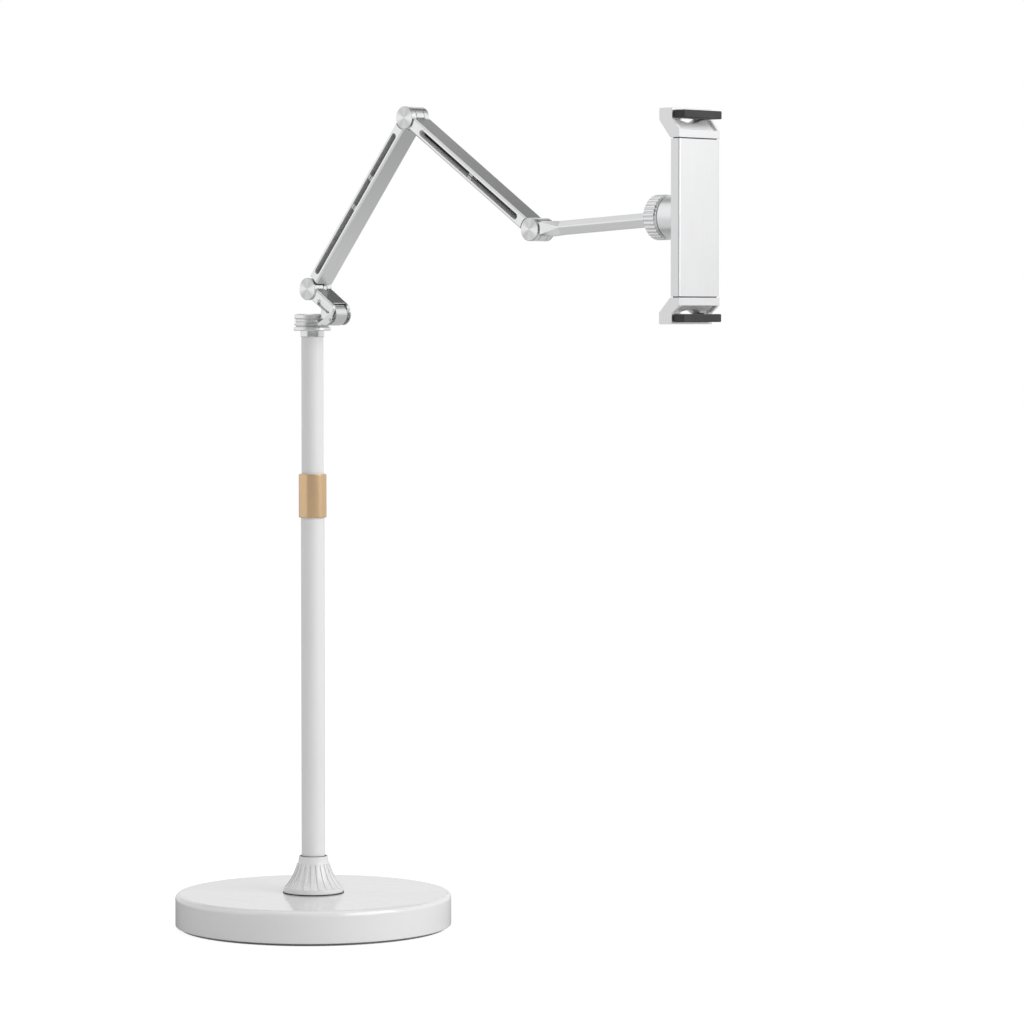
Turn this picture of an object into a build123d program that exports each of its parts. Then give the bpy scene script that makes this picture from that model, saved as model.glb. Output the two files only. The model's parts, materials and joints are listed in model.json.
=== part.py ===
from build123d import *
from math import cos, radians, sin, sqrt
import os

# Adjustable tablet floor stand: a weighted round base, a telescoping pole with a twist lock,
# a folding arm on friction hinges, and a sprung tablet clamp on a ball joint.
# Millimetres. The origin is the centre of the underside, +Z is up, +X is the way the arm reaches,
# and the hinge pins lie along Y.

# Driving dimensions
base_radius = 140.0
base_height = 35.0
lower_tube_radius = 12.0
upper_tube_radius = 11.2
tube_wall = 0.7
flare_height = 37.3
collar_low = 416.0
collar_high = 460.0
flange_low = 604.6
knuckle_radius = 11.2
bar_width = 24.0
bar_thick = 13.0
arm_joint_x = 31.1
arm_joint_z = 621.5
short_length = 36.2
short_angle = 136.1
lower_length = 216.2
lower_angle = 50.7
upper_length = 201.4
upper_angle = -33.7
head_length = 166.4
head_angle = 3.1
ball_radius = 11.0
clamp_width = 57.6
clamp_depth = 11.0
clamp_height = 145.5
clamp_setback = 26.2

# Fits shared by several pieces
run_fit = 0.05
glue_fit = 0.02
seat_gap = 0.3
cut_over = 1.0
hex_sides = 6


def save(piece, label):
    """Name a finished piece and write its file."""
    piece.part.label = label
    export_step(piece.part, f"parts/{label}.step")


def ring(outer, inner, low, high):
    """A plain ring or disc round the pole axis, between two heights."""
    with BuildPart() as made:
        with BuildSketch(Plane.XY.offset(low)):
            Circle(outer)
            if inner > 0:
                Circle(inner, mode=Mode.SUBTRACT)
        extrude(amount=high - low)
    return made


def turned(points):
    """A closed outline of (radius, height) points turned round the pole axis."""
    with BuildPart() as made:
        with BuildSketch(Plane.XZ):
            with BuildLine():
                Polyline(points, close=True)
            make_face()
        revolve(axis=Axis.Z)
    return made


os.makedirs("parts", exist_ok=True)

# Base: a rubber floor pad, a steel plate, a cast weight with a centre boss, and a gloss cover.
pad_thick = 2.0
pad_inset = 5.0
plate_thick = 1.5
plate_play = 0.2
cover_lift = 2.5
cover_wall = 2.5
cover_edge = 5.5
cover_low_edge = 1.0
weight_thick = 9.0
weight_play = 6.0
boss_radius = 42.0
plate_low = pad_thick
plate_high = plate_low + plate_thick
cover_inner_radius = base_radius - cover_wall
cover_under = base_height - cover_wall

# Centre bolt that draws the pole down on the base, and its washer, in a recess of the weight.
bolt_radius = 5.0
bolt_hole_play = 0.5
bolt_head_radius = 8.5
bolt_head_high = 6.0
bolt_washer_radius = 10.0
bolt_washer_thick = 1.6
bolt_recess_radius = 11.0
bolt_recess_deep = 8.5
bolt_hex_socket = 8.0
bolt_socket_deep = 4.0
bolt_grip = 30.0
bolt_washer_high = plate_high + bolt_recess_deep
bolt_washer_low = bolt_washer_high - bolt_washer_thick
bolt_top = base_height + bolt_grip

# Countersunk screws that hold the plate under the weight.
plate_screw_count = 6
plate_screw_inset = 30.0
plate_screw_radius = 2.0
plate_screw_head = 3.8
plate_screw_long = 7.0
plate_screw_slot = 1.0
plate_screw_slot_deep = 0.7
plate_screw_circle_radius = base_radius - plate_screw_inset

floor_pad = ring(base_radius - pad_inset, 0, 0, pad_thick)
save(floor_pad, "floor_pad")

with BuildPart() as base_plate:
    with BuildSketch(Plane.XY.offset(plate_low)):
        Circle(cover_inner_radius - plate_play)
    extrude(amount=plate_thick)
    with BuildSketch(Plane.XY.offset(plate_low)):
        with PolarLocations(plate_screw_circle_radius, plate_screw_count):
            Circle(plate_screw_radius + glue_fit)
    extrude(amount=plate_thick, mode=Mode.SUBTRACT)
    with PolarLocations(plate_screw_circle_radius, plate_screw_count):
        with Locations((0, 0, plate_low + plate_thick / 2)):
            Cone(
                plate_screw_head + glue_fit,
                plate_screw_head + glue_fit - plate_thick,
                plate_thick,
                mode=Mode.SUBTRACT,
            )
save(base_plate, "base_plate")

with BuildPart() as base_weight:
    with BuildSketch(Plane.XY.offset(plate_high)):
        Circle(cover_inner_radius - weight_play)
    extrude(amount=weight_thick)
    fillet(base_weight.edges().group_by(Axis.Z)[-1], radius=cover_low_edge)
    with BuildSketch(Plane.XY.offset(plate_high)):
        Circle(boss_radius)
    extrude(amount=cover_under - plate_high)
    with BuildSketch(Plane.XY.offset(plate_high)):
        Circle(bolt_recess_radius)
    extrude(amount=bolt_recess_deep, mode=Mode.SUBTRACT)
    with BuildSketch(Plane.XY.offset(plate_high)):
        Circle(bolt_radius + bolt_hole_play)
        with PolarLocations(plate_screw_circle_radius, plate_screw_count):
            Circle(plate_screw_radius + glue_fit)
    extrude(amount=cover_under - plate_high, mode=Mode.SUBTRACT)
save(base_weight, "base_weight")

with BuildPart() as base_cover:
    with BuildSketch(Plane.XY.offset(cover_lift)):
        Circle(base_radius)
    extrude(amount=base_height - cover_lift)
    fillet(base_cover.edges().group_by(Axis.Z)[-1], radius=cover_edge)
    fillet(base_cover.edges().group_by(Axis.Z)[0], radius=cover_low_edge)
    with BuildSketch(Plane.XY.offset(cover_lift)):
        Circle(cover_inner_radius)
    extrude(amount=cover_under - cover_lift, mode=Mode.SUBTRACT)
    with BuildSketch(Plane.XY.offset(cover_under)):
        Circle(bolt_radius + bolt_hole_play)
    extrude(amount=cover_wall, mode=Mode.SUBTRACT)
save(base_cover, "base_cover")

with BuildPart() as base_screws:
    with BuildSketch(Plane.XY.offset(plate_low)):
        with PolarLocations(plate_screw_circle_radius, plate_screw_count):
            Circle(plate_screw_radius)
    extrude(amount=plate_screw_long)
    with PolarLocations(plate_screw_circle_radius, plate_screw_count):
        with Locations((0, 0, plate_low + plate_thick / 2)):
            Cone(plate_screw_head, plate_screw_head - plate_thick, plate_thick)
    with BuildSketch(Plane.XY.offset(plate_low)):
        with PolarLocations(plate_screw_circle_radius, plate_screw_count):
            Rectangle(plate_screw_slot, 2 * plate_screw_radius)
    extrude(amount=plate_screw_slot_deep, mode=Mode.SUBTRACT)
save(base_screws, "base_screws")

base_washer = ring(bolt_washer_radius, bolt_radius + glue_fit, bolt_washer_low, bolt_washer_high)
save(base_washer, "base_washer")

with BuildPart() as base_bolt:
    with BuildSketch(Plane.XY.offset(bolt_washer_low - bolt_head_high)):
        Circle(bolt_head_radius)
    extrude(amount=bolt_head_high)
    with BuildSketch(Plane.XY.offset(bolt_washer_low)):
        Circle(bolt_radius)
    extrude(amount=bolt_top - bolt_washer_low)
    with BuildSketch(Plane.XY.offset(bolt_washer_low - bolt_head_high)):
        RegularPolygon(bolt_hex_socket / 2, hex_sides, major_radius=False)
    extrude(amount=bolt_socket_deep, mode=Mode.SUBTRACT)
save(base_bolt, "base_bolt")

# Fluted flare that hides the foot of the pole, on a thin black gasket, with a seal at its mouth.
gasket_thick = 1.0
gasket_radius = 30.9
gasket_inner = 20.0
flare_rim_radius = 30.3
flare_rim_high = 4.5
flare_step = 1.0
flare_mid_radius = 18.4
flare_mid_share = 0.5
flare_top_radius = 14.6
flute_count = 22
flute_wide = 2.0
flute_proud = 1.0
flute_root = 2.0
flute_top = 24.0
flute_low_gap = 0.4
seal_radius = 13.6
seal_deep = 1.6
seal_proud = 0.4
seal_edge = 0.6
flare_low = base_height + gasket_thick
flare_high = base_height + flare_height
flare_shoulder = flare_low + flare_rim_high
flare_mid = flare_shoulder + (flare_high - flare_shoulder) * flare_mid_share
flare_foot_radius = flare_rim_radius - flare_step
tube_bore = lower_tube_radius + run_fit

flare_gasket = ring(gasket_radius, gasket_inner, base_height, flare_low)
save(flare_gasket, "flare_gasket")

with BuildPart() as flute:
    with BuildSketch(Plane.XZ):
        with BuildLine():
            low_point = (flare_foot_radius, flare_shoulder + flute_low_gap)
            mid_point = (flare_mid_radius + flute_proud, flare_mid)
            high_point = (flare_top_radius + flute_root, flare_shoulder + flute_top)
            curve = ThreePointArc(low_point, mid_point, high_point)
            Polyline(
                curve @ 1,
                (flare_top_radius, flare_shoulder + flute_top),
                (flare_top_radius, flare_shoulder + flute_low_gap),
                curve @ 0,
            )
        make_face()
    extrude(amount=flute_wide / 2, both=True)

with BuildPart() as flare_collar:
    with BuildSketch(Plane.XZ):
        with BuildLine():
            foot = (flare_foot_radius, flare_shoulder)
            top = (flare_top_radius, flare_high)
            ThreePointArc(foot, (flare_mid_radius, flare_mid), top)
            Polyline(
                top,
                (seal_radius, flare_high),
                (seal_radius, flare_high - seal_deep),
                (tube_bore, flare_high - seal_deep),
                (tube_bore, flare_low),
                (flare_rim_radius, flare_low),
                (flare_rim_radius, flare_shoulder),
                foot,
            )
        make_face()
    revolve(axis=Axis.Z)
    with PolarLocations(0, flute_count):
        add(flute.part)
save(flare_collar, "flare_collar")

flare_seal = ring(
    seal_radius - glue_fit,
    tube_bore - run_fit + glue_fit,
    flare_high - seal_deep,
    flare_high + seal_proud,
)
with flare_seal:
    fillet(flare_seal.edges().group_by(Axis.Z)[-1], radius=seal_edge)
save(flare_seal, "flare_seal")

# Lower tube, and the threaded plug in its foot.
plug_high = 40.0
lower_tube_top = 440.0
lower_tube_inner = lower_tube_radius - tube_wall

lower_tube = ring(lower_tube_radius, lower_tube_inner, base_height, lower_tube_top)
save(lower_tube, "lower_tube")

tube_plug = ring(
    lower_tube_inner - glue_fit, bolt_radius + glue_fit, base_height, base_height + plug_high
)
save(tube_plug, "tube_plug")

# Twist lock: a threaded nipple over the lower tube, a split collet, and the plain collar.
nipple_radius = 12.9
nipple_low = 419.0
nipple_top = 444.0
collet_low = nipple_top + run_fit
collet_high = 455.8
collet_foot = 12.8
collet_tip = 12.2
collet_slit = 1.2
collet_slit_deep = 8.0
collet_slit_count = 3
collar_radius = 14.1
collar_lip_low = 2.6
collar_bore_play = 0.1
collar_lip_high = 1.6
collar_lip_thick = 2.2
collar_lip_play = 0.5
collar_edge = 0.7
collar_rim_play = 0.3

tube_nipple = turned(
    [
        (lower_tube_radius + glue_fit, nipple_low),
        (nipple_radius, nipple_low),
        (nipple_radius, nipple_top),
        (upper_tube_radius + run_fit, nipple_top),
        (upper_tube_radius + run_fit, lower_tube_top),
        (lower_tube_radius + glue_fit, lower_tube_top),
    ]
)
save(tube_nipple, "tube_nipple")

with BuildPart() as collet:
    with BuildSketch(Plane.XZ):
        with BuildLine():
            Polyline(
                (upper_tube_radius + run_fit, collet_low),
                (collet_foot, collet_low),
                (collet_tip, collet_high),
                (upper_tube_radius + run_fit, collet_high),
                close=True,
            )
        make_face()
    revolve(axis=Axis.Z)
    with BuildSketch(Plane.XY.offset(collet_high)):
        with PolarLocations(0, collet_slit_count):
            Rectangle(2 * collet_foot + cut_over, collet_slit)
    extrude(amount=-collet_slit_deep, mode=Mode.SUBTRACT)
save(collet, "collet")

collar_bore = nipple_radius + collar_bore_play
collar_lip_top = collar_high - collar_lip_high
with BuildPart() as lock_collar:
    with BuildSketch(Plane.XZ):
        with BuildLine():
            Polyline(
                (lower_tube_radius + collar_bore_play, collar_low),
                (collar_radius, collar_low),
                (collar_radius, collar_high),
                (collar_bore + collar_rim_play, collar_high),
                (collar_bore + collar_rim_play, collar_lip_top),
                (upper_tube_radius + collar_lip_play, collar_lip_top),
                (upper_tube_radius + collar_lip_play, collar_lip_top - collar_lip_thick),
                (collar_bore, collar_lip_top - collar_lip_thick),
                (collar_bore, collar_low + collar_lip_low),
                (lower_tube_radius + collar_bore_play, collar_low + collar_lip_low),
                close=True,
            )
        make_face()
    revolve(axis=Axis.Z)
    rims = lock_collar.edges().filter_by(GeomType.CIRCLE).group_by(SortBy.RADIUS)[-1]
    fillet(rims, radius=collar_edge)
save(lock_collar, "lock_collar")

# Upper tube, the slider on its foot, and the polished ferrule at its head.
upper_tube_low = 225.0
upper_tube_top = 603.0
slider_flange = 5.0
slider_spigot = 14.0
ferrule_low = 598.2
ferrule_top_radius = 12.1
ferrule_foot_radius = 11.5
ferrule_seat = 10.0
ferrule_edge = 0.5
upper_tube_inner = upper_tube_radius - tube_wall

upper_tube = ring(upper_tube_radius, upper_tube_inner, upper_tube_low, upper_tube_top)
save(upper_tube, "upper_tube")

tube_slider = turned(
    [
        (0, upper_tube_low - slider_flange),
        (lower_tube_inner - run_fit, upper_tube_low - slider_flange),
        (lower_tube_inner - run_fit, upper_tube_low),
        (upper_tube_inner - glue_fit, upper_tube_low),
        (upper_tube_inner - glue_fit, upper_tube_low + slider_spigot),
        (0, upper_tube_low + slider_spigot),
    ]
)
save(tube_slider, "tube_slider")

upper_ferrule = turned(
    [
        (upper_tube_radius + glue_fit, ferrule_low),
        (ferrule_foot_radius, ferrule_low),
        (ferrule_foot_radius + ferrule_edge, ferrule_low + ferrule_edge),
        (ferrule_top_radius, flange_low),
        (ferrule_seat, flange_low),
        (ferrule_seat, upper_tube_top),
        (upper_tube_radius + glue_fit, upper_tube_top),
    ]
)
save(upper_ferrule, "upper_ferrule")

# Swivel: flange, friction washer, bracket ring, thin ring and a large-headed centre bolt.
flange_radius = 18.8
flange_thick = 3.8
flange_edge = 0.8
spigot_long = 24.0
swivel_groove_radius = 16.6
swivel_washer_thick = 1.5
bracket_ring_radius = 18.2
bracket_ring_thick = 2.3
bracket_neck_high = 1.5
thin_ring_radius = 18.0
thin_ring_thick = 1.3
thin_ring_edge = 0.4
head_neck_high = 1.0
head_radius = 18.3
head_high = 5.6
head_edge = 1.3
head_dish = 15.0
head_dish_deep = 0.6
swivel_bolt_radius = 6.0
swivel_bolt_long = 28.0
flange_top = flange_low + flange_thick
bracket_low = flange_top + swivel_washer_thick
bracket_ring_top = bracket_low + bracket_ring_thick
bracket_top = bracket_ring_top + bracket_neck_high
thin_ring_top = bracket_top + thin_ring_thick
head_low = thin_ring_top + head_neck_high
head_top = head_low + head_high

with BuildPart() as swivel_flange:
    with BuildSketch(Plane.XY.offset(flange_low)):
        Circle(flange_radius)
    extrude(amount=flange_thick)
    fillet(swivel_flange.edges(), radius=flange_edge)
    with BuildSketch(Plane.XY.offset(flange_low - spigot_long)):
        Circle(ferrule_seat - glue_fit)
    extrude(amount=spigot_long + flange_edge)
    with BuildSketch(Plane.XY.offset(flange_low - spigot_long)):
        Circle(swivel_bolt_radius + glue_fit)
    extrude(amount=spigot_long + flange_thick, mode=Mode.SUBTRACT)
save(swivel_flange, "swivel_flange")

swivel_washer = ring(swivel_groove_radius, swivel_bolt_radius + glue_fit, flange_top, bracket_low)
save(swivel_washer, "swivel_washer")

swivel_ring = ring(thin_ring_radius, swivel_bolt_radius + glue_fit, bracket_top, thin_ring_top)
with swivel_ring:
    fillet(swivel_ring.edges().filter_by(GeomType.CIRCLE).group_by(SortBy.RADIUS)[-1], radius=thin_ring_edge)
save(swivel_ring, "swivel_ring")

with BuildPart() as swivel_bolt:
    with BuildSketch(Plane.XY.offset(head_low)):
        Circle(head_radius)
    extrude(amount=head_high)
    chamfer(swivel_bolt.edges(), length=head_edge)
    with BuildSketch(Plane.XY.offset(head_top)):
        Circle(head_dish)
    extrude(amount=-head_dish_deep, mode=Mode.SUBTRACT)
    with BuildSketch(Plane.XY.offset(thin_ring_top)):
        Circle(swivel_groove_radius)
    extrude(amount=head_neck_high)
    with BuildSketch(Plane.XY.offset(thin_ring_top)):
        Circle(swivel_bolt_radius)
    extrude(amount=-swivel_bolt_long)
save(swivel_bolt, "swivel_bolt")


def side_plane(joint, y, angle=0):
    """The side view's plane at one y: local x runs at an angle up from +X, and its normal is -Y."""
    turn = radians(angle)
    return Plane(origin=(joint[0], y, joint[1]), x_dir=(cos(turn), 0, sin(turn)), z_dir=(0, -1, 0))


def next_joint(joint, length, angle):
    """The hinge centre at the far end of a link."""
    turn = radians(angle)
    return (joint[0] + length * cos(turn), joint[1] + length * sin(turn))


# Hinge centres in the side view, as (x, z), in the photographed pose.
bracket_joint = (arm_joint_x, arm_joint_z)
short_joint = next_joint(bracket_joint, short_length, short_angle)
elbow_joint = next_joint(short_joint, lower_length, lower_angle)
wrist_joint = next_joint(elbow_joint, upper_length, upper_angle)
ball_centre = next_joint(wrist_joint, head_length, head_angle)

# Hinge stacks, measured along the pin from the middle of the arm.
relief_gap = 0.9
wide_relief_gap = 2.4
relief_radius = knuckle_radius + relief_gap
wide_relief = knuckle_radius + wide_relief_gap
pin_radius = 3.0
cap_thick = 2.2
cap_edge = 0.4
ear_reach = 10.1
washer_thick = 0.6
washer_play = 0.05
washer_radius = 10.2
tongue_side = 5.0
offset_tongue_start = 0.7
centre_tongue = (-tongue_side, tongue_side)
offset_tongue = (offset_tongue_start, tongue_side)
washer_room = washer_thick + 2 * washer_play
pin_head_radius = 5.5
pin_head_high = 2.8
pin_head_play = 0.1
pin_hex = 5.0
pin_hex_deep = 1.6
nut_across = 9.5
web_lap = 2.0


def ears_round(tongue):
    """The two ears that stand either side of a tongue and its washers."""
    low, high = tongue
    return [(-ear_reach, low - washer_room), (high + washer_room, ear_reach)]


def knuckles(joint, angle, spans, relief):
    """Round knuckles with a web out past the link's relief, over the given stretches of the pin."""
    for low, high in spans:
        with BuildSketch(side_plane(joint, high, angle)) as outline:
            Circle(knuckle_radius)
            with Locations(((relief + web_lap) / 2, 0)):
                Rectangle(relief + web_lap, bar_thick)
        extrude(outline.sketch, amount=high - low)


def cross_cut(joint, radius, low, high):
    """A round hole along the pin between two y places."""
    with BuildSketch(side_plane(joint, high)) as outline:
        Circle(radius)
    extrude(outline.sketch, amount=high - low, mode=Mode.SUBTRACT)


def fork_cuts(joint):
    """The pin hole of a fork, with a recess for the pin's head and one for its nut."""
    recess = pin_head_high + pin_head_play
    cross_cut(joint, pin_radius + glue_fit, -ear_reach, ear_reach)
    cross_cut(joint, pin_head_radius + pin_head_play, -ear_reach, recess - ear_reach)
    cross_cut(joint, pin_head_radius + pin_head_play, ear_reach - recess, ear_reach)


# Long links: a chamfered bar with a round-ended cable channel in its -Y side.
bar_chamfer = 1.6
channel_wide = 6.0
channel_deep = 10.0
lower_channel_start = 20.0
upper_channel_start = 25.5
channel_end = 20.0
half_bar = bar_width / 2


def bar(joint, length, angle, foot_relief, end_relief):
    """A chamfered bar, cut back in a round at its foot and round the hinge at its far end."""
    run = Axis((joint[0], 0, joint[1]), side_plane(joint, 0, angle).x_dir)
    with BuildSketch(side_plane(joint, half_bar, angle)) as outline:
        with Locations((length / 2, 0)):
            Rectangle(length, bar_thick)
    made = extrude(outline.sketch, amount=bar_width)
    chamfer(made.edges().filter_by(run), length=bar_chamfer)
    if foot_relief > 0:
        cross_cut(joint, foot_relief, -half_bar, half_bar)
    cross_cut(next_joint(joint, length, angle), end_relief, -half_bar, half_bar)


def long_link(joint, length, angle, start_tongue, end_tongue, channel_start):
    """A link with a tongue at its start, a fork at its end and a cable channel between."""
    end = next_joint(joint, length, angle)
    with BuildPart() as made:
        bar(joint, length, angle, wide_relief, relief_radius)
        knuckles(joint, angle, [start_tongue], wide_relief)
        knuckles(end, angle + 180, ears_round(end_tongue), relief_radius)
        cross_cut(joint, pin_radius + run_fit, -half_bar, half_bar)
        fork_cuts(end)
        with BuildSketch(side_plane(joint, -half_bar + channel_deep, angle)) as channel:
            with Locations(((channel_start + length - channel_end) / 2, 0)):
                SlotOverall(length - channel_start - channel_end, channel_wide)
        extrude(channel.sketch, amount=channel_deep, mode=Mode.SUBTRACT)
    return made


lower_arm = long_link(
    short_joint, lower_length, lower_angle, offset_tongue, centre_tongue, lower_channel_start
)
save(lower_arm, "lower_arm")
upper_arm = long_link(
    elbow_joint, upper_length, upper_angle, centre_tongue, centre_tongue, upper_channel_start
)
save(upper_arm, "upper_arm")

# Cable clips: small sprung clasps pressed into the channels.
clip_long = 5.0
clip_wall = 1.0
clip_sink = 0.4
clip_mouth = 1.2
clip_lip = 1.2
lower_clip_shares = (0.484, 0.654)
upper_clip_shares = (0.53,)


def cable_clips(joint, length, angle, shares):
    """Clasps across a channel, open at the mouth by a narrow slit."""
    with BuildPart() as made:
        for share in shares:
            clip_centre = next_joint(joint, length * share, angle)
            clip_plane = side_plane(clip_centre, -half_bar + channel_deep, angle)
            with BuildSketch(clip_plane) as block:
                Rectangle(clip_long, channel_wide - 2 * glue_fit)
            extrude(block.sketch, amount=channel_deep - clip_sink)
            with BuildSketch(clip_plane.offset(clip_wall)) as bore:
                Rectangle(clip_long, channel_wide - 2 * glue_fit - 2 * clip_wall)
            extrude(bore.sketch, amount=channel_deep - clip_sink - clip_wall - clip_lip, mode=Mode.SUBTRACT)
            with BuildSketch(clip_plane.offset(clip_wall)) as mouth:
                Rectangle(clip_long, clip_mouth)
            extrude(mouth.sketch, amount=channel_deep, mode=Mode.SUBTRACT)
    return made


lower_arm_clips = cable_clips(short_joint, lower_length, lower_angle, lower_clip_shares)
save(lower_arm_clips, "lower_arm_clips")
upper_arm_clip = cable_clips(elbow_joint, upper_length, upper_angle, upper_clip_shares)
save(upper_arm_clip, "upper_arm_clip")

# Short link: a bar that leans off the line of its hinges, with a fork at its head, and at its foot
# two cheeks and a hub round the bracket's tongue. A round-ended pocket lies along its -Y side.
link_lean = 10.7
cheek_reach = 7.0
cheek_in = 8.2
cheek_round = 6.0
hub_radius = 5.6
hub_skin = 1.3
bracket_tongue = 7.5
pocket_low = 3.0
pocket_high = 23.5
pocket_aside = 1.9
pocket_wide = 5.8
pocket_deep = 2.2
link_angle = short_angle + link_lean
link_length = short_length * cos(radians(link_lean)) + cheek_reach
link_foot = next_joint(short_joint, link_length, link_angle + 180)
pin_half = half_bar - hub_skin

with BuildPart() as short_link:
    bar(link_foot, link_length, link_angle, 0, wide_relief)
    with BuildSketch(side_plane(link_foot, half_bar, link_angle)):
        with Locations((cheek_round / 2, (cheek_round - bar_thick) / 2)):
            Rectangle(cheek_round, cheek_round)
        with Locations((cheek_round, cheek_round - bar_thick / 2)):
            Circle(cheek_round, mode=Mode.SUBTRACT)
    extrude(amount=bar_width, mode=Mode.SUBTRACT)
    with BuildSketch(side_plane(bracket_joint, half_bar)):
        Circle(hub_radius)
    extrude(amount=bar_width)
    with BuildSketch(side_plane(link_foot, cheek_in, link_angle)):
        with Locations((cheek_reach / 2, 0)):
            Rectangle(cheek_reach, bar_thick)
    extrude(amount=2 * cheek_in, mode=Mode.SUBTRACT)
    cross_cut(bracket_joint, relief_radius, -cheek_in, cheek_in)
    knuckles(short_joint, link_angle + 180, ears_round(offset_tongue), wide_relief)
    cross_cut(bracket_joint, pin_radius + glue_fit, -pin_half, half_bar)
    fork_cuts(short_joint)
    with BuildSketch(side_plane(link_foot, -half_bar + pocket_deep, link_angle)):
        with Locations(((pocket_low + pocket_high) / 2, pocket_aside)):
            SlotOverall(pocket_high - pocket_low, pocket_wide)
    extrude(amount=pocket_deep, mode=Mode.SUBTRACT)
save(short_link, "short_link")

# Bracket: a ring under the thin ring, with a tongue and two guard straps round the first hinge.
strap_play = 0.15
strap_thick = 1.1
strap_line_drop = 3.5
strap_line_angle = 29.4
strap_cut_radius = 12.7
cheek_sweep_radius = 9.4
corner_sweep_radius = 14.2
sweep_inset = 2.0
neck_foot_x = 12.0
neck_taper_x = 21.8
neck_taper_y = 9.0
neck_hip_x = 26.0
neck_back_x = 19.2
neck_back_z = 618.0
rivet_radius = 1.3
rivet_proud = 0.4
rivet_sink = 0.8
rivet_x = 7.6
rivet_z = -5.7
strap_in = half_bar + strap_play
strap_out = strap_in + strap_thick

with BuildPart() as swivel_bracket:
    with BuildSketch(side_plane(bracket_joint, strap_out)):
        Circle(knuckle_radius)
        with BuildLine():
            Polyline(
                (neck_foot_x - bracket_joint[0], bracket_low - bracket_joint[1]),
                (neck_hip_x - bracket_joint[0], bracket_low - bracket_joint[1]),
                (0, 0),
                (neck_back_x - bracket_joint[0], neck_back_z - bracket_joint[1]),
                (neck_back_x - bracket_joint[0], bracket_top - bracket_joint[1]),
                (neck_foot_x - bracket_joint[0], bracket_top - bracket_joint[1]),
                close=True,
            )
        make_face()
    extrude(amount=2 * strap_out)
    for side_high in (-bracket_tongue, strap_out):
        with BuildSketch(side_plane(bracket_joint, side_high, strap_line_angle)):
            Circle(strap_cut_radius)
            with Locations((0, -strap_line_drop - strap_cut_radius)):
                Rectangle(2 * strap_cut_radius, 2 * strap_cut_radius, mode=Mode.SUBTRACT)
        extrude(amount=strap_out - bracket_tongue, mode=Mode.SUBTRACT)
    for low, high in ((-strap_in, -bracket_tongue), (bracket_tongue, strap_in)):
        cross_cut(bracket_joint, cheek_sweep_radius, low, high)
        with BuildSketch(side_plane(bracket_joint, high)):
            Circle(corner_sweep_radius)
            with Locations((-sweep_inset - corner_sweep_radius, 0)):
                Rectangle(2 * corner_sweep_radius, 2 * corner_sweep_radius, mode=Mode.SUBTRACT)
        extrude(amount=high - low, mode=Mode.SUBTRACT)
    for side in (-1, 1):
        with BuildSketch(Plane.XY.offset(bracket_low)):
            with BuildLine():
                Polyline(
                    (neck_foot_x - cut_over, side * neck_taper_y),
                    (neck_foot_x - cut_over, side * (strap_out + cut_over)),
                    (neck_taper_x, side * (strap_out + cut_over)),
                    (neck_taper_x, side * strap_out),
                    close=True,
                )
            make_face()
        extrude(amount=bracket_top - bracket_low, mode=Mode.SUBTRACT)
    with BuildSketch(Plane.XY.offset(bracket_low)):
        Circle(bracket_ring_radius)
    extrude(amount=bracket_ring_thick)
    with BuildSketch(Plane.XY.offset(bracket_low)):
        Circle(swivel_groove_radius)
    extrude(amount=bracket_top - bracket_low)
    with BuildSketch(Plane.XY.offset(bracket_low)):
        Circle(swivel_bolt_radius + run_fit)
    extrude(amount=bracket_top - bracket_low, mode=Mode.SUBTRACT)
    cross_cut(bracket_joint, pin_radius + run_fit, -bracket_tongue, bracket_tongue)
    for side_high in (rivet_sink - strap_out, strap_out):
        with BuildSketch(side_plane(bracket_joint, side_high)):
            with Locations((rivet_x, rivet_z)):
                Circle(rivet_radius + glue_fit)
        extrude(amount=rivet_sink, mode=Mode.SUBTRACT)
save(swivel_bracket, "swivel_bracket")

with BuildPart() as strap_rivets:
    for side_high in (rivet_sink - strap_out, strap_out + rivet_proud):
        with BuildSketch(side_plane(bracket_joint, side_high)):
            with Locations((rivet_x, rivet_z)):
                Circle(rivet_radius)
        extrude(amount=rivet_sink + rivet_proud)
save(strap_rivets, "strap_rivets")


def across(joint, low, high, radius, inner=0):
    """A disc or ring whose axis is the hinge pin's, between two y places."""
    with BuildPart() as made:
        with BuildSketch(side_plane(joint, high)):
            Circle(radius)
            if inner > 0:
                Circle(inner, mode=Mode.SUBTRACT)
        extrude(amount=high - low)
    return made


def washers(joint, tongue_low, tongue_high, radius):
    """The two friction washers either side of a tongue."""
    with BuildPart() as made:
        for low in (tongue_low - washer_play - washer_thick, tongue_high + washer_play):
            add(across(joint, low, low + washer_thick, radius, pin_radius + glue_fit).part)
    return made


# Hinge pins. The first is a plain pressed pin, the others are screws with a nut under the caps.
bracket_pin = across(bracket_joint, -pin_half, pin_half, pin_radius)
save(bracket_pin, "bracket_pin")
bracket_washers = washers(bracket_joint, -bracket_tongue, bracket_tongue, hub_radius)
save(bracket_washers, "bracket_washers")

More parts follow.
